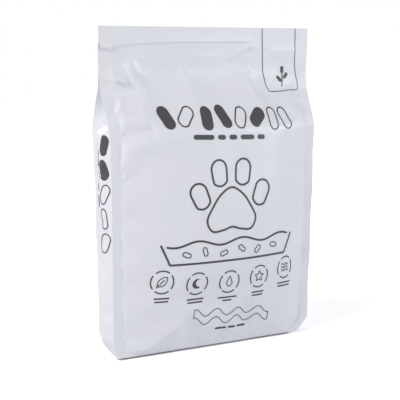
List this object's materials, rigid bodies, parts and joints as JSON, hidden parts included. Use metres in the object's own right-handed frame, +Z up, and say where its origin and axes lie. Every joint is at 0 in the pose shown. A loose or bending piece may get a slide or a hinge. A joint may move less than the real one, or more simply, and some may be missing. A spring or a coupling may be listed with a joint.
{
  "type": "cat litter bag",
  "caption": "Sealed flat-bottomed film bag of cat litter, standing full, with side gussets, welded corner edges and a flat sealed header.",
  "frame": {"origin": "on the floor, under the middle of the bag's box", "axes": "+Z up along the bag's height, the printed front panel faces -Y, the gusseted sides face -X and +X"},
  "size_m": [0.322, 0.114, 0.42],
  "materials": {
    "bag_film": "satin white coated film"
  },
  "bodies": {
    "root": {"litter_bag": "bag_film"}
  },
  "joints": []
}
